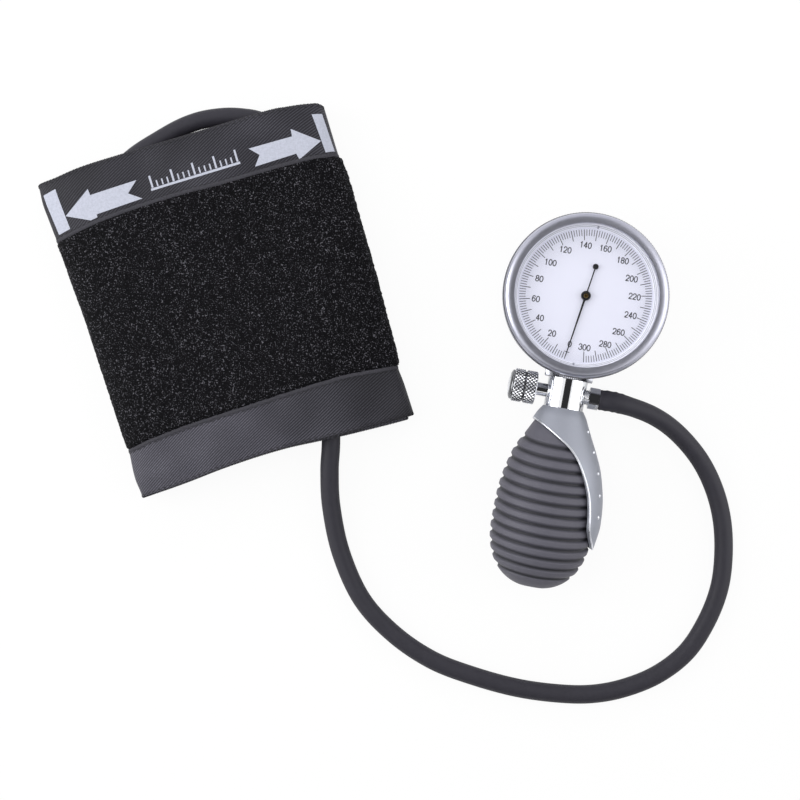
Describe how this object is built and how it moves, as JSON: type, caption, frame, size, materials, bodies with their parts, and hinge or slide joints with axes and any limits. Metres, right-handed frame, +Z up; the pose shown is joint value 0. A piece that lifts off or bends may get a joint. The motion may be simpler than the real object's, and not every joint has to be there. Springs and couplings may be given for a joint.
{
  "type": "aneroid sphygmomanometer",
  "caption": "Palm blood pressure gauge with round dial, knurled release valve, ribbed rubber squeeze bulb with hand spoon, and a hose to a rolled hook-and-loop arm cuff.",
  "frame": {"origin": "middle of the footprint of the gauge unit and cuff, on the table", "axes": "+Z up from the table; +X to the right, from the cuff towards the gauge; +Y away from the viewer"},
  "size_m": [0.2969, 0.2575, 0.0432],
  "materials": {
    "satin_silver": "satin silver lacquer",
    "case_silver": "satin silver lacquer",
    "clear_lens": "clear acrylic",
    "black_rubber": "matt",
    "white_ring": "matt white",
    "white_dial": "matt white print",
    "black_paint": "satin black",
    "brass": "turned",
    "steel": "turned",
    "spring_steel": "blued",
    "bronze": "rolled sheet",
    "chrome": "polished",
    "bulb_rubber": "matt grey rubber",
    "spoon_silver": "satin silver plastic",
    "hose_rubber": "smooth black rubber",
    "cuff_cloth": "woven black nylon twill",
    "pile_cloth": "black loop pile",
    "hook_cloth": "black hook tape",
    "bladder_rubber": "matt black rubber"
  },
  "bodies": {
    "frame": {"gauge_case": "case_silver", "bezel_ring": "satin_silver", "lens": "clear_lens", "lens_gasket": "black_rubber", "lens_ring": "white_ring", "dial_plate": "white_dial", "hairspring": "spring_steel", "lower_plate": "brass", "upper_plate": "brass", "pillars": "brass", "movement_screws": "steel", "capsule_base": "bronze", "capsule_top": "bronze", "pressure_tube": "brass", "stem_block": "brass", "manifold": "chrome", "saddle": "chrome", "stub_seal": "black_rubber", "valve_bush": "chrome", "hose_nipple": "chrome", "hose_nut": "chrome", "nipple_seal": "black_rubber", "outlet_seat": "brass", "bulb": "bulb_rubber", "end_valve_body": "chrome", "end_valve_seat": "brass", "end_valve_filter": "steel", "hose": "hose_rubber", "cuff_cover": "cuff_cloth", "pile_panel": "pile_cloth", "hook_panel": "hook_cloth", "bladder": "bladder_rubber", "bladder_port": "bladder_rubber"},
    "pointer": {"pointer": "black_paint", "pointer_bush": "brass", "pinion": "brass"},
    "sector": {"sector_gear": "brass", "sector_arbor": "steel"},
    "rocker": {"rocking_shaft": "steel"},
    "stud": {"capsule_stud": "steel"},
    "spoon": {"spoon": "spoon_silver"},
    "valve_ring": {"valve_ring": "black_rubber"},
    "knob": {"release_knob": "chrome", "valve_spindle": "steel"},
    "outlet_flap": {"outlet_flap": "black_rubber"},
    "end_flap": {"end_valve_flap": "black_rubber"}
  },
  "joints": [
    {"name": "sector_swing", "type": "hinge", "parent": "frame", "child": "sector", "pos_m": [0.10442, 0.00145, 0.018], "axis": [0, 0, 1], "range_deg": [0, 28.58], "stiffness_Nm_per_rad": 0.001},
    {"name": "pointer_turn", "type": "hinge", "parent": "frame", "child": "pointer", "pos_m": [0.09866, 0.02008, 0.0323], "axis": [0, 0, -1], "range_deg": [0, 343]},
    {"name": "rocker_tilt", "type": "hinge", "parent": "frame", "child": "rocker", "pos_m": [0.10456, 0.019, 0.0118], "axis": [0.1788, 0.9839, 0], "range_deg": [0, 8.62]},
    {"name": "capsule_travel", "type": "slide", "parent": "frame", "child": "stud", "axis": [0, 0, 1], "range_m": [0, 0.0009], "deforming": ["capsule_top"]},
    {"name": "valve_turn", "type": "hinge", "parent": "valve_ring", "child": "knob", "pos_m": [0.07449, -0.01781, 0.0216], "axis": [-0.9839, 0.1788, 0], "range_deg": [0, 540]},
    {"name": "valve_travel", "type": "slide", "parent": "frame", "child": "valve_ring", "axis": [-0.9839, 0.1788, 0], "range_m": [0, 0.0012]},
    {"name": "outlet_flap_lift", "type": "slide", "parent": "frame", "child": "outlet_flap", "axis": [0.1788, 0.9839, 0], "range_m": [0, 0.0008], "stiffness_N_per_m": 20},
    {"name": "end_flap_lift", "type": "slide", "parent": "frame", "child": "end_flap", "axis": [0.1788, 0.9839, 0], "range_m": [0, 0.0008], "stiffness_N_per_m": 20},
    {"name": "spoon_turn", "type": "hinge", "parent": "frame", "child": "spoon", "pos_m": [0.08936, -0.03109, 0.0216], "axis": [-0.1788, -0.9839, 0], "range_deg": [0, 180]}
  ],
  "couplings": [
    {"joint": "pointer_turn", "follows": "sector_swing", "ratio": 12},
    {"joint": "rocker_tilt", "follows": "sector_swing", "ratio": 0.3011},
    {"joint": "capsule_travel", "follows": "sector_swing", "m_per_rad": 0.0018},
    {"joint": "valve_travel", "follows": "valve_turn", "m_per_rad": 0.00012732}
  ]
}
